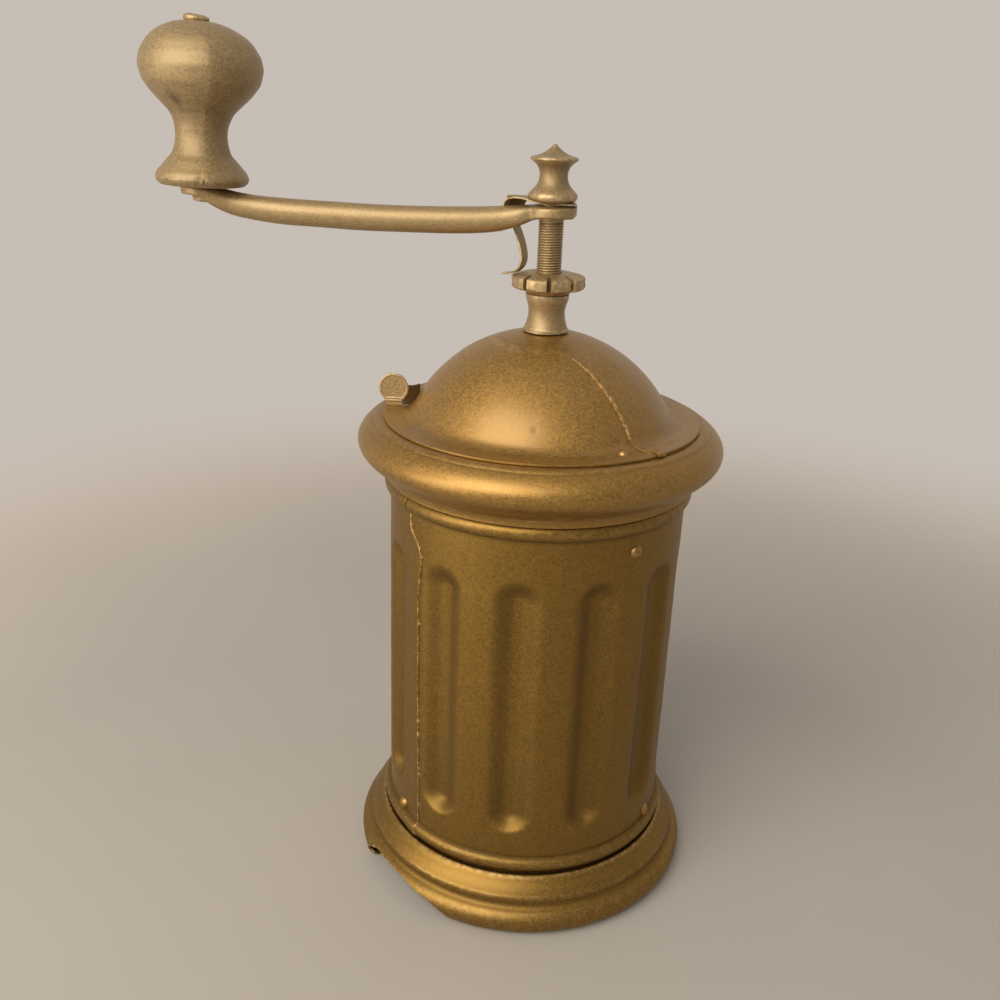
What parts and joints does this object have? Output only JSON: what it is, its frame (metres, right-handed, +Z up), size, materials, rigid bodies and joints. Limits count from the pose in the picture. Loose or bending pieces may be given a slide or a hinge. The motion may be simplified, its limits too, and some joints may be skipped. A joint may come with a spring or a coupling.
{
  "type": "manual coffee grinder",
  "caption": "Column coffee mill with a fluted body that lifts off its foot and cup, a dome with a turning filling cap, a conical burr set and a long crank.",
  "frame": {"origin": "on the spindle's axis, at the underside of the catch cup and the foot", "axes": "+Z up along the spindle, -Y to the front that the picture shows, -X along the crank to its knob"},
  "size_m": [0.1699, 0.1094, 0.2559],
  "materials": {
    "gold_paint": "grainy satin gold paint on sheet metal",
    "gold_paint_on_wood": "the same gold paint on a turned wooden knob",
    "tinned_sheet": "dull tinned sheet steel",
    "burr_iron": "dark, dry",
    "plain_steel": "plain steel"
  },
  "bodies": {
    "base": {"foot_ring": "gold_paint", "catch_cup": "tinned_sheet"},
    "column": {"column_body": "gold_paint", "socket_sleeve": "tinned_sheet", "socket_rivet_1": "gold_paint", "socket_rivet_2": "gold_paint", "socket_rivet_3": "gold_paint", "top_ring": "gold_paint", "hopper_funnel": "tinned_sheet", "hopper_dome": "gold_paint", "stop_rivet": "gold_paint", "neck_bearing": "gold_paint", "burr_bracket": "burr_iron", "bracket_rivet_1": "gold_paint", "bracket_rivet_2": "gold_paint", "bracket_rivet_3": "gold_paint", "ring_burr": "burr_iron", "guide_bridge": "burr_iron", "bridge_screw_1": "plain_steel", "bridge_screw_2": "plain_steel"},
    "cap": {"filling_cap": "gold_paint"},
    "crank": {"spindle": "gold_paint", "cone_burr": "burr_iron", "burr_washer": "plain_steel", "burr_nut": "plain_steel", "crank_arm": "gold_paint", "click_spring": "gold_paint", "finial_nut": "gold_paint", "knob_pin": "gold_paint"},
    "setting_nut": {"star_nut": "gold_paint"},
    "knob": {"knob": "gold_paint_on_wood"}
  },
  "joints": [
    {"name": "column_lift", "type": "slide", "parent": "base", "child": "column", "axis": [0, 0, 1], "range_m": [0, 0.05]},
    {"name": "cap_turn", "type": "hinge", "parent": "column", "child": "cap", "pos_m": [0, 0, 0.175], "axis": [0, 0, 1], "range_deg": [-5, 120]},
    {"name": "crank_turn", "type": "hinge", "parent": "column", "child": "crank", "pos_m": [0, 0, 0.18], "axis": [0, 0, 1], "continuous": true},
    {"name": "setting_turn", "type": "hinge", "parent": "crank", "child": "setting_nut", "pos_m": [0, 0, 0.189], "axis": [0, 0, 1], "range_deg": [-720, 720]},
    {"name": "knob_spin", "type": "hinge", "parent": "crank", "child": "knob", "pos_m": [-0.09875, 0, 0.21187], "axis": [0.0297, 0, 0.9996], "continuous": true}
  ]
}
